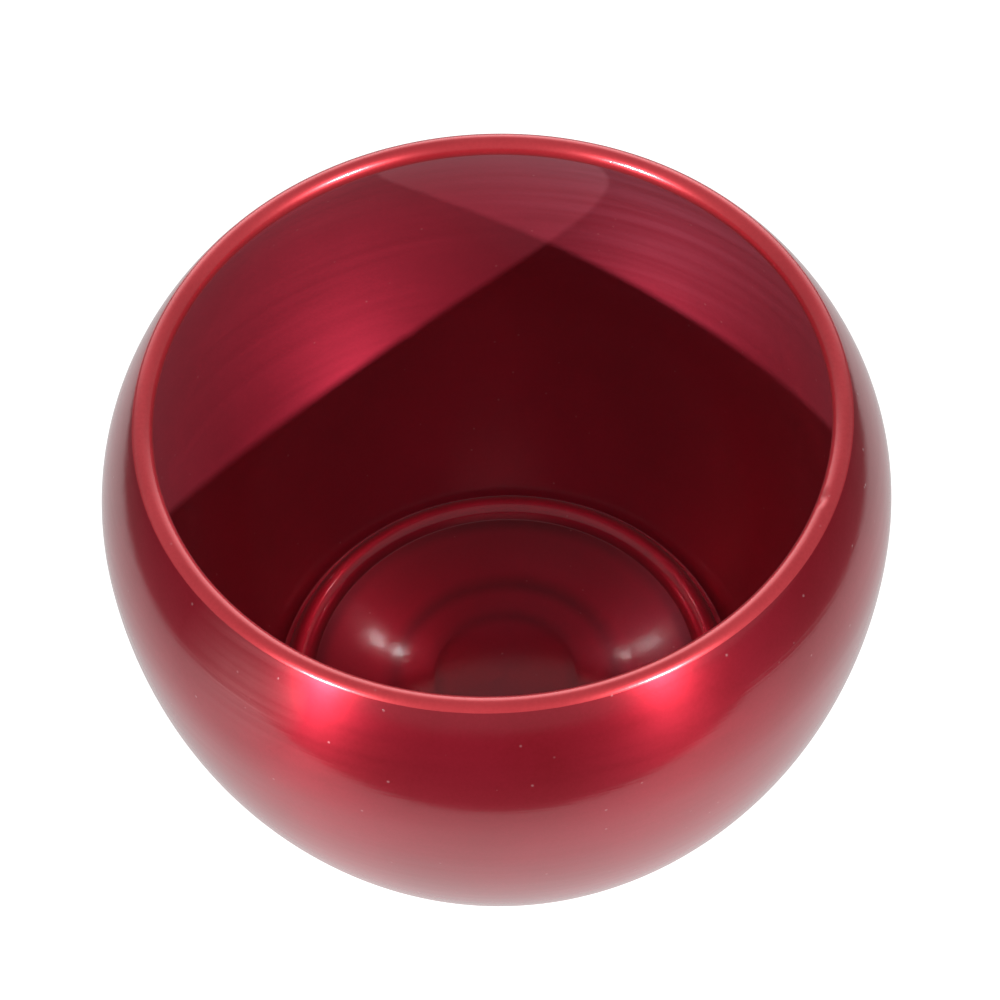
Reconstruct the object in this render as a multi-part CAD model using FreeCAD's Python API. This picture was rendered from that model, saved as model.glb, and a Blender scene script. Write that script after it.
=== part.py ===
import FreeCAD, Part
import math
import os

# Round metal bowl, spun from one disc of sheet, with its rim rolled inward over a wire.
# Millimetres, +Z up.  The origin is on the bowl's axis, in the plane that it stands on.

# ---- driving dimensions ----
sheet = 1.2              # thickness of the spun sheet

belly_d = 150.0          # widest outside diameter
belly_z = 70.7           # height of the widest circle
height = 99.2            # height of the rim's top
mouth_d = 124.6          # clear opening inside the rim
foot_d = 94.3            # middle of the narrow flat ring that the bowl stands on
foot_land = 0.8          # width of that flat ring
heel_r = 1.7             # outside radius where the wall turns under, into the foot
valley_r = 1.5           # underside radius on the inner side of the foot

wire_d = 2.0             # stiffening wire inside the rim
wire_joint_gap = 0.6     # gap between the butted ends of the wire
curl_gap = 0.15          # gap between the rolled edge of the sheet and the wall

crest_inset = 3.85       # from the foot ring in to the ring pressed up around the floor
crest_z = 5.3            # height of the pressed ring's top
crest_r = 3.0            # radius over the pressed ring's top

# the floor inside the pressed ring, each place by its distance in from the ring's
# middle and its depth below the ring's top
ring_foot_inset = 3.4    # where the floor starts to rise to the ring
ring_foot_depth = 2.1
ring_fillet_r = 0.4      # upper radius at that place
channel_inset = 14.6     # lowest circle of the shallow channel round the raised middle
channel_depth = 1.87
channel_r = 41.0         # hollow radius across the channel
pad_inset = 28.9         # edge of the flat, raised middle
pad_depth = 0.94
pad_edge_r = 8.0         # radius over that edge

# ---- values that follow ----
bead_r = wire_d / 2 + sheet
bead_centre = (mouth_d / 2 + bead_r, height - bead_r)
heel_centre = ((foot_d + foot_land) / 2, heel_r)
valley_centre = ((foot_d - foot_land) / 2, valley_r)
crest_centre = (foot_d / 2 - crest_inset, crest_z - crest_r)


def wall_radius(centre, radius):
    """Radius of the arc that leaves the belly upright and holds the given circle inside it."""
    across = centre[0] - belly_d / 2
    rise = centre[1] - belly_z
    return (radius ** 2 - across ** 2 - rise ** 2) / (2 * (across + radius))


def heading(start, end):
    """Direction from one point to another, in degrees."""
    return math.degrees(math.atan2(end[1] - start[1], end[0] - start[0]))


def belt_heading(first, second):
    """Direction of the straight line that runs off one bend and onto the next, in degrees.

    A bend is a centre and a radius, positive where the path turns left and negative
    where it turns right.
    """
    across = math.dist(first[0], second[0])
    step = second[1] - first[1]
    return heading(first[0], second[0]) - math.degrees(math.asin(step / across))


def point_on(centre, radius, direction):
    """Point where a path of the given direction passes a bend."""
    turn = math.radians(direction)
    return (centre[0] + radius * math.sin(turn), centre[1] - radius * math.cos(turn))


def floor_bends():
    """Bends of the floor's underside from the middle outward, each a centre and a radius."""
    # each place takes a bend of its upper face, positive where the floor turns up
    places = [
        (pad_inset, pad_depth, -pad_edge_r),
        (channel_inset, channel_depth, channel_r),
        (ring_foot_inset, ring_foot_depth, ring_fillet_r),
        (0.0, 0.0, -crest_r),
    ]
    bends = []
    for inset, depth, bend_r in places:
        centre = (crest_centre[0] - inset, crest_z - depth + bend_r)
        bends.append((centre, bend_r + sheet))
    bends.append((valley_centre, valley_r))
    return bends


def shell_path():
    """Outer face of the sheet from the axis to the rolled edge.

    Each item is a bend's centre, its radius, and the path's direction before and after it.
    """
    bends = floor_bends()
    path = []
    before = 0.0
    for bend, following in zip(bends, bends[1:]):
        after = belt_heading(bend, following)
        path.append((bend[0], bend[1], before, after))
        before = after
    path.append((valley_centre, valley_r, before, 0.0))

    flank_r = wall_radius(heel_centre, heel_r)
    flank_centre = (belly_d / 2 - flank_r, belly_z)
    flank_start = 90 + heading(flank_centre, heel_centre)
    path.append((heel_centre, heel_r, 0.0, flank_start))
    path.append((flank_centre, flank_r, flank_start, 90.0))

    shoulder_r = wall_radius(bead_centre, bead_r)
    shoulder_centre = (belly_d / 2 - shoulder_r, belly_z)
    shoulder_end = 90 + heading(shoulder_centre, bead_centre)
    path.append((shoulder_centre, shoulder_r, 90.0, shoulder_end))

    open_angle = math.degrees(math.acos((wire_d / 2 - curl_gap) / bead_r))
    path.append((bead_centre, bead_r, shoulder_end, shoulder_end + 360 - open_angle))
    return path


def face_edges(path, inward):
    """Edges of one face of the sheet, the given distance inside the path."""
    edges = []
    last = None
    for centre, radius, before, after in path:
        bend_r = radius - inward
        start = point_on(centre, bend_r, before)
        middle = point_on(centre, bend_r, (before + after) / 2)
        end = point_on(centre, bend_r, after)
        if last is None:
            last = (0.0, start[1])
        if math.dist(last, start) > 1e-6:
            edges.append(Part.makeLine(in_section(last), in_section(start)))
        edges.append(Part.Arc(in_section(start), in_section(middle), in_section(end)).toShape())
        last = end
    return edges, last


def in_section(point):
    """Point of the XZ half plane from its radius and height."""
    return FreeCAD.Vector(point[0], 0, point[1])


def revolve(edges, angle):
    """Solid of revolution about the bowl's axis."""
    wire = Part.Wire(Part.__sortEdges__(edges))
    axis = FreeCAD.Vector(0, 0, 1)
    turned = Part.Face(wire).revolve(FreeCAD.Vector(0, 0, 0), axis, angle)
    return Part.Solid(turned) if turned.ShapeType == "Shell" else turned


def bowl_shell():
    """Spun sheet: floor, foot, wall and rolled rim in one piece."""
    path = shell_path()
    under, under_end = face_edges(path, 0.0)
    upper, upper_end = face_edges(path, sheet)
    rolled_edge = Part.makeLine(in_section(under_end), in_section(upper_end))
    floor_under = (0.0, point_on(path[0][0], path[0][1], 0.0)[1])
    floor_upper = (0.0, floor_under[1] + sheet)
    on_axis = Part.makeLine(in_section(floor_under), in_section(floor_upper))
    return revolve(under + upper + [rolled_edge, on_axis], 360)


def rim_wire():
    """Stiffening wire of the rim, a ring with its two ends butted."""
    section = Part.makeCircle(wire_d / 2, in_section(bead_centre), FreeCAD.Vector(0, 1, 0))
    gap_angle = math.degrees(wire_joint_gap / bead_centre[0])
    ring = revolve([section], 360 - gap_angle)
    ring.rotate(FreeCAD.Vector(0, 0, 0), FreeCAD.Vector(0, 0, 1), 90 + gap_angle / 2)
    return ring


def main():
    os.makedirs("parts", exist_ok=True)
    pieces = {
        "bowl_shell": bowl_shell(),
        "rim_wire": rim_wire(),
    }
    for name, solid in pieces.items():
        solid.exportStep("parts/" + name + ".step")
        print(name, "valid", solid.isValid(), "volume", round(solid.Volume, 1))


main()
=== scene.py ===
import math

import bpy
from mathutils import Matrix, Vector, noise


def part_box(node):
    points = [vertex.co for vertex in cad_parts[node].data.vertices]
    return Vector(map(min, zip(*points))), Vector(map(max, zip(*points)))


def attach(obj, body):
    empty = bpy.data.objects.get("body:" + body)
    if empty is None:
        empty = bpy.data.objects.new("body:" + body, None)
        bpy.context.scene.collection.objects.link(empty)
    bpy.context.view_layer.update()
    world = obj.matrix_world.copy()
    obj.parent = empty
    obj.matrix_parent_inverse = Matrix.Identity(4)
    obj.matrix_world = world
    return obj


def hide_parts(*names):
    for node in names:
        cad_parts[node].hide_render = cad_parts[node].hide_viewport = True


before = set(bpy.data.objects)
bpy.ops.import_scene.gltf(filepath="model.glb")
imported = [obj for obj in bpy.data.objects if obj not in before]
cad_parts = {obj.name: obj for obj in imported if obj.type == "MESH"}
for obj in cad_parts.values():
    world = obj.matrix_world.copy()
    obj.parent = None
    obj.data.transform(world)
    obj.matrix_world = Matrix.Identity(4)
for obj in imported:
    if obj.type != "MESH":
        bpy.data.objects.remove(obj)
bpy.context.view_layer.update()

# Everything is in metres, in the CAD frame: +Z up, origin on the bowl's axis where it stands.
MM = 0.001

# ---- sizes of the bowl, as its CAD model has them ----
shell_low, shell_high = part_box("bowl_shell")
wire_low, wire_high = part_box("rim_wire")
BELLY_R = shell_high.x
HEIGHT = shell_high.z
BEAD_Z = (wire_low.z + wire_high.z) / 2
WIRE_R = (wire_high.z - wire_low.z) / 2
BEAD_R = HEIGHT - BEAD_Z
SHEET = BEAD_R - WIRE_R
BEAD_CENTRE = (wire_high.x - WIRE_R, BEAD_Z)
BELLY_Z = 70.7 * MM
CURL_GAP = 0.15 * MM

FOOT_R = 47.15 * MM
FOOT_LAND = 0.8 * MM
HEEL_R = 1.7 * MM
VALLEY_R = 1.5 * MM
CREST_INSET = 3.85 * MM
CREST_Z = 5.3 * MM
CREST_R = 3.0 * MM
# places on the floor inside the ring: distance in from the ring, depth below its top, bend radius
FLOOR_PLACES = [
    (28.9 * MM, 0.94 * MM, -8.0 * MM),
    (14.6 * MM, 1.87 * MM, 41.0 * MM),
    (3.4 * MM, 2.1 * MM, 0.4 * MM),
    (0.0, 0.0, -CREST_R),
]

HEEL_CENTRE = (FOOT_R + FOOT_LAND / 2, HEEL_R)
VALLEY_CENTRE = (FOOT_R - FOOT_LAND / 2, VALLEY_R)
CREST_CENTRE = (FOOT_R - CREST_INSET, CREST_Z - CREST_R)

SEGMENTS = 336           # steps round the bowl
ARC_STEP = math.radians(9.0)
LONG_STEP = 1.8 * MM
SAME_PLACE = 0.02 * MM   # closer than this, two points of the section are one


# ---- the sheet's section, as in the CAD model ----
def wall_radius(centre, radius):
    """Radius of the arc that leaves the belly upright and holds the given circle inside it."""
    across = centre[0] - BELLY_R
    rise = centre[1] - BELLY_Z
    return (radius ** 2 - across ** 2 - rise ** 2) / (2 * (across + radius))


def heading(start, end):
    return math.atan2(end[1] - start[1], end[0] - start[0])


def belt_heading(first, second):
    """Direction of the straight line that runs off one bend and onto the next."""
    across = math.dist(first[0], second[0])
    return heading(first[0], second[0]) - math.asin((second[1] - first[1]) / across)


def point_on(centre, radius, direction):
    return (centre[0] + radius * math.sin(direction), centre[1] - radius * math.cos(direction))


def shell_path():
    """Outer face from the axis to the rolled edge: bend centre, radius, direction in and out."""
    bends = []
    for inset, depth, bend_r in FLOOR_PLACES:
        centre = (CREST_CENTRE[0] - inset, CREST_Z - depth + bend_r)
        bends.append((centre, bend_r + SHEET))
    bends.append((VALLEY_CENTRE, VALLEY_R))
    path = []
    before = 0.0
    for bend, following in zip(bends, bends[1:]):
        after = belt_heading(bend, following)
        path.append((bend[0], bend[1], before, after))
        before = after
    path.append((VALLEY_CENTRE, VALLEY_R, before, 0.0))

    upright = math.pi / 2
    flank_r = wall_radius(HEEL_CENTRE, HEEL_R)
    flank_centre = (BELLY_R - flank_r, BELLY_Z)
    flank_start = upright + heading(flank_centre, HEEL_CENTRE)
    path.append((HEEL_CENTRE, HEEL_R, 0.0, flank_start))
    path.append((flank_centre, flank_r, flank_start, upright))

    shoulder_r = wall_radius(BEAD_CENTRE, BEAD_R)
    shoulder_centre = (BELLY_R - shoulder_r, BELLY_Z)
    shoulder_end = upright + heading(shoulder_centre, BEAD_CENTRE)
    path.append((shoulder_centre, shoulder_r, upright, shoulder_end))
    open_angle = math.acos((WIRE_R - CURL_GAP) / BEAD_R)
    path.append((BEAD_CENTRE, BEAD_R, shoulder_end, shoulder_end + 2 * math.pi - open_angle))
    return path


def face_points(path, inward):
    """Points along one face of the sheet, the given distance inside the path.

    Each point also has the direction in which the sheet's outer face looks there.
    """
    points = []
    for centre, radius, before, after in path:
        bend_r = radius - inward
        length = abs(radius * (after - before))
        steps = max(2, math.ceil(abs(after - before) / ARC_STEP), math.ceil(length / LONG_STEP))
        for step in range(steps + 1):
            turn = before + (after - before) * step / steps
            place = point_on(centre, bend_r, turn)
            if not points or math.dist(points[-1][0], place) > SAME_PLACE:
                points.append((place, (math.sin(turn), -math.cos(turn))))
    return points


def section():
    """Section from the axis along the outer face, round the rolled edge and back inside.

    Gives the points, and how many of them come before the rim and before the inside wall.
    """
    path = shell_path()
    outer = face_points(path, 0.0)
    inner = face_points(path, SHEET)
    outer.insert(0, ((0.0, outer[0][0][1]), (0.0, -1.0)))
    inner.insert(0, ((0.0, inner[0][0][1]), (0.0, -1.0)))
    below_rim = len(face_points(path[:-1], 0.0))
    on_rim = [item for item in inner if math.dist(item[0], BEAD_CENTRE) < BEAD_R]
    return outer + inner[::-1], below_rim, len(outer) + len(on_rim)


# ---- small faults of a hand-finished bowl, always inward so that its size holds ----
MEAN_DEPTH = 0.075 * MM
SLOW_WAVE = 0.045 * MM
QUICK_WAVE = 0.010 * MM
RIPPLE = 0.006 * MM                             # in rings round the bowl
NICK_AT = Vector((0.0582, -0.0250, 0.0986))     # knock in the rim
NICK_REACH = 1.7 * MM
NICK_DEPTH = 0.55 * MM


def handmade(x, y, z):
    """Depth by which the sheet lies inside its true shape, at a point of it."""
    place = Vector((x, y, z))
    slow = noise.noise(place * 24.0)
    quick = noise.noise(place * 80.0 + Vector((7.0, 3.0, 5.0)))
    ring = noise.noise(Vector((math.hypot(x, y) * 260.0, z * 260.0, 4.0)))
    nick = max(0.0, 1.0 - (place - NICK_AT).length / NICK_REACH)
    waves = SLOW_WAVE * slow + QUICK_WAVE * quick + RIPPLE * ring
    return MEAN_DEPTH + waves + NICK_DEPTH * nick


def build_shell():
    """Mesh of the sheet, with its faces marked as outside, rim or inside."""
    profile, rim_row, inside_row = section()
    verts = []
    rings = []
    for (radius, level), (out_r, out_z) in profile:
        if radius < 1e-6:
            rings.append([len(verts)])
            verts.append((0.0, 0.0, level + handmade(0.0, 0.0, level)))
            continue
        rings.append(list(range(len(verts), len(verts) + SEGMENTS)))
        for step in range(SEGMENTS):
            turn = 2 * math.pi * step / SEGMENTS
            depth = handmade(radius * math.cos(turn), radius * math.sin(turn), level)
            at_r = radius - out_r * depth
            verts.append((at_r * math.cos(turn), at_r * math.sin(turn), level - out_z * depth))
    faces = []
    zones = []
    for row, (low, high) in enumerate(zip(rings, rings[1:])):
        for step in range(SEGMENTS):
            following = (step + 1) % SEGMENTS
            if len(low) == 1:
                faces.append((low[0], high[following], high[step]))
            elif len(high) == 1:
                faces.append((low[step], low[following], high[0]))
            else:
                faces.append((low[step], low[following], high[following], high[step]))
            zones.append((row >= rim_row) + (row >= inside_row))
    mesh = bpy.data.meshes.new("lacquered_bowl")
    mesh.from_pydata(verts, [], faces)
    mesh.validate()
    for polygon, zone in zip(mesh.polygons, zones):
        polygon.use_smooth = True
        polygon.material_index = zone
    bowl = bpy.data.objects.new("lacquered_bowl", mesh)
    bpy.context.scene.collection.objects.link(bowl)
    return bowl


# ---- nodes ----
class Nodes:
    """The node tree of a new material or world, with the nodes that this script uses."""

    def __init__(self, owner):
        owner.use_nodes = True
        self.tree = owner.node_tree
        self.tree.nodes.clear()

    def new(self, kind, **settings):
        node = self.tree.nodes.new("ShaderNode" + kind)
        for key, value in settings.items():
            setattr(node, key, value)
        return node

    def link(self, source, target):
        self.tree.links.new(source, target)

    def noise(self, scale, detail, vector):
        node = self.new("TexNoise")
        node.inputs["Scale"].default_value = scale
        node.inputs["Detail"].default_value = detail
        self.link(vector, node.inputs["Vector"])
        return node.outputs["Fac"]

    def spread(self, value, low, high, from_low=0.0, from_high=1.0, curve="LINEAR"):
        """The value's range brought to another, and held inside it."""
        node = self.new("MapRange", interpolation_type=curve)
        node.inputs["From Min"].default_value = from_low
        node.inputs["From Max"].default_value = from_high
        node.inputs["To Min"].default_value = low
        node.inputs["To Max"].default_value = high
        self.link(value, node.inputs["Value"])
        return node.outputs["Result"]

    def product(self, first, second):
        node = self.new("Math", operation="MULTIPLY")
        self.link(first, node.inputs[0])
        self.link(second, node.inputs[1])
        return node.outputs[0]

    def ramp(self, value, stops, interpolation="LINEAR"):
        """Colours along a value, each stop a position and a colour."""
        node = self.new("ValToRGB")
        node.color_ramp.interpolation = interpolation
        elements = node.color_ramp.elements
        while len(elements) < len(stops):
            elements.new(1.0)
        for element, (position, colour) in zip(elements, stops):
            element.position = position
            element.color = colour
        self.link(value, node.inputs["Fac"])
        return node.outputs["Color"]

    def mix(self, amount, first, second, blend="MIX"):
        """Two colours mixed; the second is a colour or another node's output."""
        node = self.new("MixRGB", blend_type=blend)
        self.link(amount, node.inputs["Fac"])
        self.link(first, node.inputs["Color1"])
        if isinstance(second, tuple):
            node.inputs["Color2"].default_value = second
        else:
            self.link(second, node.inputs["Color2"])
        return node.outputs["Color"]

    def bump(self, height, strength, distance, under=None):
        node = self.new("Bump")
        node.inputs["Strength"].default_value = strength
        node.inputs["Distance"].default_value = distance
        self.link(height, node.inputs["Height"])
        if under is not None:
            self.link(under, node.inputs["Normal"])
        return node.outputs["Normal"]


class Surface(Nodes):
    """A new material's nodes, ending in one Principled shader."""

    def __init__(self, name):
        self.material = bpy.data.materials.new(name)
        super().__init__(self.material)
        self.shader = self.new("BsdfPrincipled")
        self.link(self.shader.outputs["BSDF"], self.new("OutputMaterial").inputs["Surface"])

    def feed(self, source, socket):
        self.link(source, self.shader.inputs[socket])

    def constants(self, values):
        for socket, value in values.items():
            self.shader.inputs[socket].default_value = value


# ---- materials ----
# sizes of the textures, in features to the metre
GROOVES = 1400.0
FINE_GROOVES = 3200.0
GRAIN = 1500.0
GRIT = 2400.0
PEEL = 520.0
DUST = 330.0
STREAKS = 420.0
POOLS = 45.0
# heights of the bumps
GROOVE_HEIGHT = 0.02 * MM
FINE_GROOVE_HEIGHT = 0.05 * MM
GRIT_HEIGHT = 0.02 * MM
PEEL_HEIGHT = 0.03 * MM
NIB_HEIGHT = 0.06 * MM


def turned_places(nodes, place):
    """Radius from the axis, and two places for textures that run round the bowl.

    The first has only radius and height, so that noise in it makes whole rings.  The second
    has a little of the turn in it too, so that the rings break up.
    """
    split = nodes.new("SeparateXYZ")
    nodes.link(place, split.inputs[0])
    flat = nodes.new("CombineXYZ")
    nodes.link(split.outputs["X"], flat.inputs["X"])
    nodes.link(split.outputs["Y"], flat.inputs["Y"])
    length = nodes.new("VectorMath", operation="LENGTH")
    nodes.link(flat.outputs[0], length.inputs[0])
    radius = length.outputs["Value"]
    rings = nodes.new("CombineXYZ")
    nodes.link(radius, rings.inputs["X"])
    nodes.link(split.outputs["Z"], rings.inputs["Y"])
    broken = nodes.new("VectorMath", operation="MULTIPLY_ADD")
    broken.inputs[1].default_value = (0.05, 0.05, 0.0)
    nodes.link(flat.outputs[0], broken.inputs[0])
    nodes.link(rings.outputs[0], broken.inputs[2])
    return radius, rings.outputs[0], broken.outputs[0]


def rubbed_patch(nodes, place, streaks, finish):
    """How far a patch of the lacquer is rubbed dull, in strokes that run round the bowl."""
    away = nodes.new("VectorMath", operation="DISTANCE")
    away.inputs[1].default_value = finish["rubbed_at"]
    nodes.link(place, away.inputs[0])
    reach = finish["rubbed_reach"]
    patch = nodes.spread(away.outputs["Value"], finish["rubbed"], 0.0, reach * 0.2, reach)
    strokes = nodes.spread(streaks, 0.45, 1.0, 0.35, 0.65)
    return nodes.product(patch, strokes)


def dust_nibs(nodes, place):
    """Sparse specks of dust caught in the lacquer."""
    cells = nodes.new("TexVoronoi")
    cells.inputs["Scale"].default_value = DUST
    nodes.link(place, cells.inputs["Vector"])
    specks = nodes.spread(cells.outputs["Distance"], 1.0, 0.0, 0.04, 0.11)
    chosen = nodes.spread(cells.outputs["Color"], 0.0, 1.0, 0.66, 0.70)
    return nodes.product(specks, chosen)


def lacquer(name, finish):
    """Translucent red lacquer over lathe-turned metal."""
    nodes = Surface(name)
    place = nodes.new("TexCoord").outputs["Object"]
    radius, rings, broken_rings = turned_places(nodes, place)
    streaks = nodes.noise(STREAKS, 3.0, broken_rings)
    pools = nodes.noise(POOLS, 3.0, place)
    grain = nodes.noise(GRAIN, 2.0, place)
    rubbed = rubbed_patch(nodes, place, streaks, finish)
    nibs = dust_nibs(nodes, place)

    # the lacquer pools a little, and is grained where the metal under it shows
    depth = nodes.new("Math", operation="MULTIPLY_ADD")
    depth.inputs[1].default_value = 0.45
    nodes.link(grain, depth.inputs[0])
    nodes.link(pools, depth.inputs[2])
    colour = nodes.ramp(depth.outputs[0], [(0.50, finish["deep"]), (0.95, finish["thin"])])

    # painted shade and painted highlight on the floor, in broken rings: darker arcs and a dark corner
    # inside the ring, a paler ring crest
    last_r = FLOOR_SHADE_AND_HIGHLIGHT[-1][0]
    stops = [(ring_r / last_r, (shade, shade, shade, 1)) for ring_r, shade in FLOOR_SHADE_AND_HIGHLIGHT]
    shades = nodes.ramp(nodes.spread(radius, 0.0, 1.0, 0.0, last_r), stops, "EASE")
    amount = nodes.spread(pools, 0.55 * finish["floor_shade_amount"], finish["floor_shade_amount"], 0.35, 0.60)
    colour = nodes.mix(amount, colour, shades, "MULTIPLY")
    colour = nodes.mix(rubbed, colour, finish["frost"])
    colour = nodes.mix(nodes.spread(nibs, 0.0, finish["nibs"]), colour, NIB_COLOUR)
    nodes.feed(colour, "Base Color")

    # the metal: dull where it is rubbed, and grooved round the bowl
    rough = finish["roughness"]
    streak = finish["streak"]
    nodes.feed(nodes.spread(streaks, rough - streak, rough + streak, 0.3, 0.7), "Roughness")
    metallic = finish["metallic"]
    nodes.feed(nodes.spread(rubbed, metallic, metallic - 0.25), "Metallic")
    grooved = nodes.bump(nodes.noise(GROOVES, 2.0, rings), 0.12, GROOVE_HEIGHT)
    nodes.feed(nodes.bump(grain, 0.10, GRIT_HEIGHT, grooved), "Normal")
    tangent = nodes.new("Tangent", direction_type="RADIAL", axis="Z")
    nodes.feed(tangent.outputs["Tangent"], "Tangent")

    # the lacquer's own surface: orange peel and nibs, over fine grooves and grit showing through
    traced = finish["traced"]
    skin = nodes.bump(nodes.noise(FINE_GROOVES, 1.0, rings), traced, FINE_GROOVE_HEIGHT)
    skin = nodes.bump(nodes.noise(GRIT, 1.0, place), traced, GRIT_HEIGHT, skin)
    skin = nodes.bump(nodes.noise(PEEL, 2.0, place), finish["peel"], PEEL_HEIGHT, skin)
    skin = nodes.bump(nibs, finish["nibs"], NIB_HEIGHT, skin)
    nodes.feed(skin, "Coat Normal")

    nodes.constants({
        "Anisotropic": finish["anisotropic"],
        "Anisotropic Rotation": 0.25,
        "Coat Weight": 1.0,
        "Coat Roughness": finish["coat_roughness"],
        "Coat IOR": 1.56,
        "Sheen Weight": finish["haze"],
        "Sheen Roughness": 0.6,
        "Sheen Tint": (1.0, 0.85, 0.92, 1),
    })
    return nodes.material


# The rim's lacquer colours are paler than the rest: painted highlight for the bright band along the
# rolled rim.
OUTSIDE_FINISH = {
    "deep": (0.36, 0.006, 0.019, 1), "thin": (0.44, 0.010, 0.030, 1), "frost": (0.50, 0.14, 0.15, 1),
    "metallic": 0.78, "roughness": 0.34, "streak": 0.02, "anisotropic": 0.80,
    "coat_roughness": 0.12, "haze": 0.02, "peel": 0.45, "traced": 0.22, "nibs": 0.8, "floor_shade_amount": 0.0,
    "rubbed": 0.55, "rubbed_at": (-0.047, -0.052, 0.092), "rubbed_reach": 0.015,
}
# painted highlight: the rim's paler deep and thin colours
RIM_FINISH_WITH_PAINTED_HIGHLIGHT = {
    "deep": (0.54, 0.022, 0.034, 1), "thin": (0.64, 0.036, 0.050, 1), "frost": (0.50, 0.14, 0.15, 1),
    "metallic": 0.64, "roughness": 0.36, "streak": 0.02, "anisotropic": 0.60,
    "coat_roughness": 0.16, "haze": 0.03, "peel": 0.40, "traced": 0.3, "nibs": 0.3, "floor_shade_amount": 0.0,
    "rubbed": 0.0, "rubbed_at": (0.0, 0.0, 0.0), "rubbed_reach": 0.015,
}
INSIDE_FINISH = {
    "deep": (0.36, 0.005, 0.028, 1), "thin": (0.43, 0.008, 0.036, 1), "frost": (0.42, 0.090, 0.150, 1),
    "metallic": 0.70, "roughness": 0.45, "streak": 0.03, "anisotropic": 0.66,
    "coat_roughness": 0.10, "haze": 0.13, "peel": 0.18, "traced": 0.1, "nibs": 0.3, "floor_shade_amount": 1.0,
    "rubbed": 0.55, "rubbed_at": (0.030, 0.052, 0.093), "rubbed_reach": 0.052,
}
NIB_COLOUR = (0.62, 0.20, 0.22, 1)
# radii across the inside of the floor, and a factor on the colour there: painted shade where below 1,
# painted highlight where above 1
FLOOR_SHADE_AND_HIGHLIGHT = [
    (0.0, 0.9), (12.0 * MM, 0.85), (14.5 * MM, 0.55), (17.5 * MM, 0.85), (20.0 * MM, 0.9),
    (22.8 * MM, 0.50), (26.5 * MM, 0.95), (36.0 * MM, 0.8), (39.6 * MM, 0.32), (41.4 * MM, 1.4),
    (43.2 * MM, 1.9), (45.4 * MM, 1.0),
]


def drawn_wire():
    """Bright drawn steel wire."""
    nodes = Surface("drawn_wire")
    place = nodes.new("TexCoord").outputs["Object"]
    marks = nodes.noise(900.0, 2.0, place)
    nodes.feed(nodes.spread(marks, 0.25, 0.45), "Roughness")
    nodes.constants({"Base Color": (0.55, 0.54, 0.52, 1), "Metallic": 1.0})
    return nodes.material


# ---- studio ----
AIM = Vector((0, 0, BELLY_Z))
CAMERA_ELEVATION = 54.7      # degrees above level
CAMERA_DISTANCE = 8.0 * BELLY_R
CAMERA_ROLL = math.radians(-2.85)
FOCAL_LENGTH_MM = 113.2
SENSOR_WIDTH_MM = 36.0
CAMERA_SHIFT = (0.0039, -0.0092)

LAMP_DISTANCE = 1.75
LAMP_SIZE = 0.03
UNDER_FOOT = 0.02 * MM       # from the foot down to the floor
FLOOR_HALF = 6.0
TABLE_LOW = (-0.235, -0.16)  # corners of the table's pale top, as the lacquer reflects it
TABLE_HIGH = (0.235, 0.40)


def direction(azimuth, elevation):
    """Unit vector; azimuth 0 is towards the camera's side (-Y), positive to the right (+X)."""
    az, el = math.radians(azimuth), math.radians(elevation)
    return Vector((math.sin(az) * math.cos(el), -math.cos(az) * math.cos(el), math.sin(el)))


def facing(place):
    """Turn that looks from a place to the bowl."""
    return (AIM - place).to_track_quat("-Z", "Y").to_matrix()


def build_camera():
    data = bpy.data.cameras.new("camera")
    data.lens = FOCAL_LENGTH_MM
    data.sensor_width = SENSOR_WIDTH_MM
    data.shift_x, data.shift_y = CAMERA_SHIFT
    data.clip_start = 0.01
    data.clip_end = 50.0
    camera = bpy.data.objects.new("camera", data)
    bpy.context.scene.collection.objects.link(camera)
    place = AIM + direction(0, CAMERA_ELEVATION) * CAMERA_DISTANCE
    turn = facing(place) @ Matrix.Rotation(CAMERA_ROLL, 3, "Z")
    camera.matrix_world = Matrix.Translation(place) @ turn.to_4x4()
    bpy.context.scene.camera = camera


def lamp(name, azimuth, elevation, power):
    """Small round lamp that lights the bowl from a direction."""
    data = bpy.data.lights.new(name, "AREA")
    data.shape = "DISK"
    data.size = LAMP_SIZE
    data.energy = power
    light = bpy.data.objects.new(name, data)
    bpy.context.scene.collection.objects.link(light)
    place = AIM + direction(azimuth, elevation) * LAMP_DISTANCE
    light.matrix_world = Matrix.Translation(place) @ facing(place).to_4x4()


def glowing_sheet(name, low, high, glow):
    """Level pale sheet just under the bowl's foot."""
    surface = Surface(name)
    surface.constants({
        "Base Color": (0.30, 0.30, 0.30, 1),
        "Roughness": 0.6,
        "Emission Color": (1, 1, 1, 1),
        "Emission Strength": glow,
    })
    level = shell_low.z - UNDER_FOOT
    corners = [(low[0], low[1], level), (high[0], low[1], level),
               (high[0], high[1], level), (low[0], high[1], level)]
    mesh = bpy.data.meshes.new(name)
    mesh.from_pydata(corners, [], [(0, 1, 2, 3)])
    mesh.materials.append(surface.material)
    piece = bpy.data.objects.new(name, mesh)
    bpy.context.scene.collection.objects.link(piece)
    return piece


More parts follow.
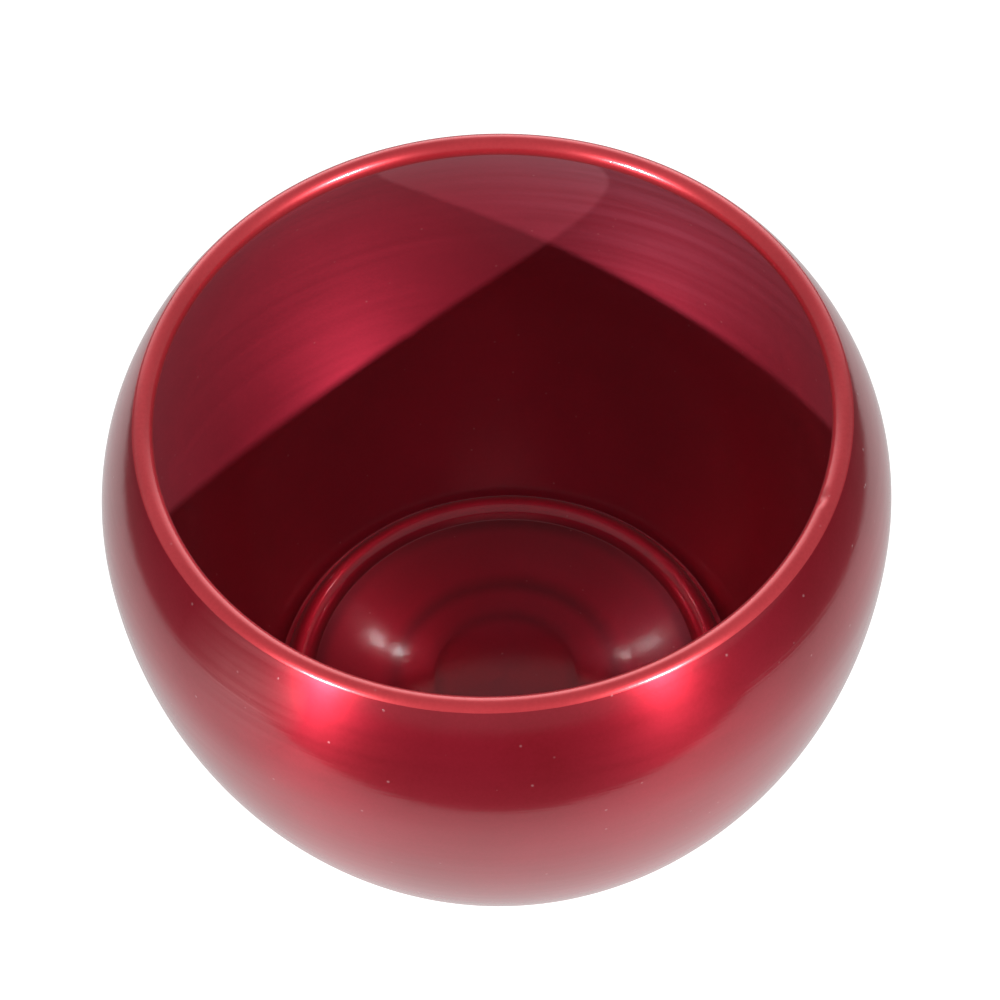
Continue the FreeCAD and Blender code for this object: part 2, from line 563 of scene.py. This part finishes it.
def build_studio():
    """Pale floor, the table's top seen only in the lacquer, two lamps and the room."""
    floor = glowing_sheet("floor", (-FLOOR_HALF, -FLOOR_HALF), (FLOOR_HALF, FLOOR_HALF), 0.90)
    floor.visible_glossy = False
    table = glowing_sheet("table", TABLE_LOW, TABLE_HIGH, 0.38)
    table.visible_camera = False
    table.visible_diffuse = False
    table.visible_shadow = False
    lamp("lamp_right", 40.4, 27.7, 29.0)
    lamp("lamp_left", -46.4, 21.1, 27.0)
    build_room()


def build_room():
    """Pale room, brightest behind the bowl, with nothing pale below the table."""
    world = bpy.data.worlds.new("studio")
    bpy.context.scene.world = world
    nodes = Nodes(world)
    split = nodes.new("SeparateXYZ")
    nodes.link(nodes.new("TexCoord").outputs["Generated"], split.inputs[0])
    behind = nodes.spread(split.outputs["Y"], 0.30, 2.2, 0.58, 0.97, "SMOOTHSTEP")
    above = nodes.spread(split.outputs["Z"], 0.03, 1.0, -0.02, 0.10, "SMOOTHSTEP")
    room = nodes.new("Background")
    nodes.link(nodes.product(behind, above), room.inputs["Color"])
    # straight behind the bowl the camera sees an even pale ground
    backdrop = nodes.new("Background")
    backdrop.inputs["Color"].default_value = (0.95, 0.95, 0.95, 1)
    chosen = nodes.new("MixShader")
    nodes.link(nodes.new("LightPath").outputs["Is Camera Ray"], chosen.inputs[0])
    nodes.link(room.outputs[0], chosen.inputs[1])
    nodes.link(backdrop.outputs[0], chosen.inputs[2])
    nodes.link(chosen.outputs[0], nodes.new("OutputWorld").inputs["Surface"])


def main():
    scene = bpy.context.scene
    scene.view_settings.view_transform = "Standard"
    bowl = build_shell()
    # in the order of the zones of the bowl's faces
    bowl.data.materials.append(lacquer("lacquer_outside", OUTSIDE_FINISH))
    bowl.data.materials.append(lacquer("lacquer_rim_painted_highlight", RIM_FINISH_WITH_PAINTED_HIGHLIGHT))
    bowl.data.materials.append(lacquer("lacquer_inside", INSIDE_FINISH))
    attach(bowl, "root")
    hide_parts("bowl_shell")
    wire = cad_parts["rim_wire"]
    wire.data.materials.clear()
    wire.data.materials.append(drawn_wire())
    build_studio()
    build_camera()


main()
